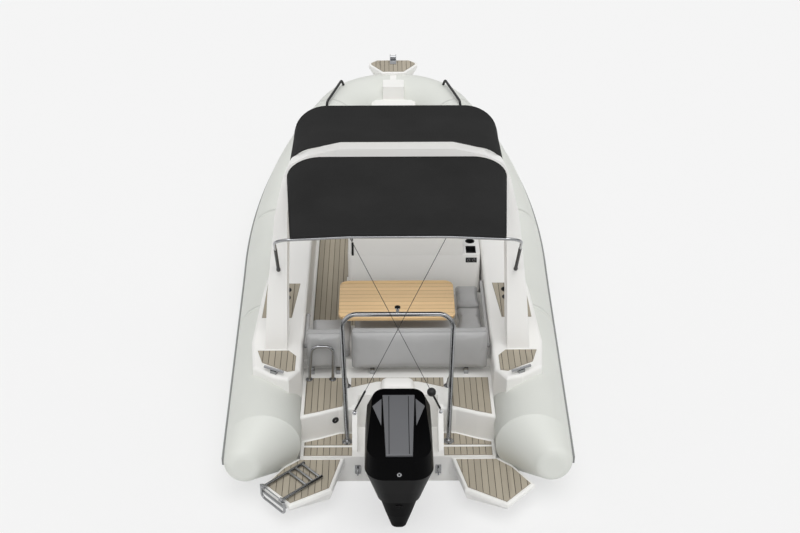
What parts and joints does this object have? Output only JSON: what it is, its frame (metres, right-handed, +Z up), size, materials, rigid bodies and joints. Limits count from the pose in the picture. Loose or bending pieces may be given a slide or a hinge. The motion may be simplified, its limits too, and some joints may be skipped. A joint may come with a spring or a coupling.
{
  "type": "inflatable rib boat",
  "caption": "Open rigid inflatable boat with a V hull, grey buoyancy collar, roll arch with two canopies, ski mast, helm seat, table, boarding ladder and a tilting outboard",
  "frame": {"origin": "on the centre line at the waterline, under the cockpit", "axes": "+Y to the bow, +X to starboard, +Z up"},
  "size_m": [3.1564, 7.8589, 3.4554],
  "materials": {
    "gelcoat_white": "gloss white gelcoat",
    "hypalon_grey": "light grey coated fabric, matt",
    "strake_rubber": "grey rubbing strake",
    "deck_foam": "grey-beige foam decking with plank seams",
    "upholstery_grey": "mid grey vinyl",
    "canopy_cloth": "charcoal acrylic canvas",
    "stainless": "polished stainless steel",
    "teak_table": "oiled teak strips",
    "engine_black": "black engine paint",
    "engine_grey": "grey engine panel",
    "engine_metal": "black painted castings",
    "black_plastic": "black moulded plastic",
    "screen_glass": "tinted clear screen"
  },
  "bodies": {
    "boat": {"hull": "gelcoat_white", "cockpit_sole": "gelcoat_white", "side_decks": "gelcoat_white", "bow_deck": "gelcoat_white", "stern_moulding": "gelcoat_white", "swim_platforms": "gelcoat_white", "bench_base": "gelcoat_white", "helm_seat_base": "gelcoat_white", "console": "gelcoat_white", "bow_step": "gelcoat_white", "roll_arch": "gelcoat_white", "tube_port": "hypalon_grey", "tube_starboard": "hypalon_grey", "rub_strakes": "strake_rubber", "decking": "deck_foam", "cushions": "upholstery_grey", "backrests": "upholstery_grey", "bow_sunpad": "upholstery_grey", "canopy_aft": "canopy_cloth", "canopy_fore": "canopy_cloth", "canopy_bow_aft": "stainless", "canopy_bow_fore": "stainless", "ski_mast": "stainless", "port_handrail": "stainless", "deck_fittings": "stainless", "anchor_roller": "stainless", "backrest_brackets": "stainless", "ladder_bracket": "stainless", "table_top": "teak_table", "clamp_bracket": "engine_metal", "table_post": "black_plastic", "bow_grab_rails": "black_plastic", "dash_controls": "black_plastic", "windscreen": "screen_glass"},
    "swivel": {"swivel_bracket": "engine_metal"},
    "engine": {"steer_yoke": "engine_metal", "midsection": "engine_metal", "gearcase": "engine_metal", "cowling": "engine_black", "cowl_panel": "engine_grey", "powerhead": "engine_metal"},
    "propeller": {"propeller": "stainless"},
    "wheel": {"steering_wheel": "black_plastic"},
    "ladder": {"boarding_ladder": "stainless"},
    "locker_lid": {"locker_lid": "gelcoat_white"}
  },
  "joints": [
    {"name": "outboard_tilt", "type": "hinge", "parent": "boat", "child": "swivel", "pos_m": [0, -2.925, 0.4], "axis": [-1, 0, 0], "range_deg": [-4, 65]},
    {"name": "outboard_steer", "type": "hinge", "parent": "swivel", "child": "engine", "pos_m": [0, -3.005, 0.15], "axis": [0, 0, 1], "range_deg": [-30, 30]},
    {"name": "propeller_spin", "type": "hinge", "parent": "engine", "child": "propeller", "pos_m": [0, -3.69, -0.595], "axis": [0, 1, 0], "continuous": true},
    {"name": "helm_wheel", "type": "hinge", "parent": "boat", "child": "wheel", "pos_m": [0.18, 0.49478, 1.11915], "axis": [0, -0.87, 0.493], "range_deg": [-720, 720]},
    {"name": "ladder_fold", "type": "hinge", "parent": "boat", "child": "ladder", "pos_m": [-1.066, -3.3495, 0.297], "axis": [0.6803, -0.7329, 0], "range_deg": [0, 250]},
    {"name": "locker_lid_hinge", "type": "hinge", "parent": "boat", "child": "locker_lid", "pos_m": [0, 2.93495, 0.891], "axis": [1, 0, 0], "range_deg": [0, 95]}
  ],
  "couplings": [
    {"joint": "helm_wheel", "follows": "outboard_steer", "ratio": -24}
  ]
}
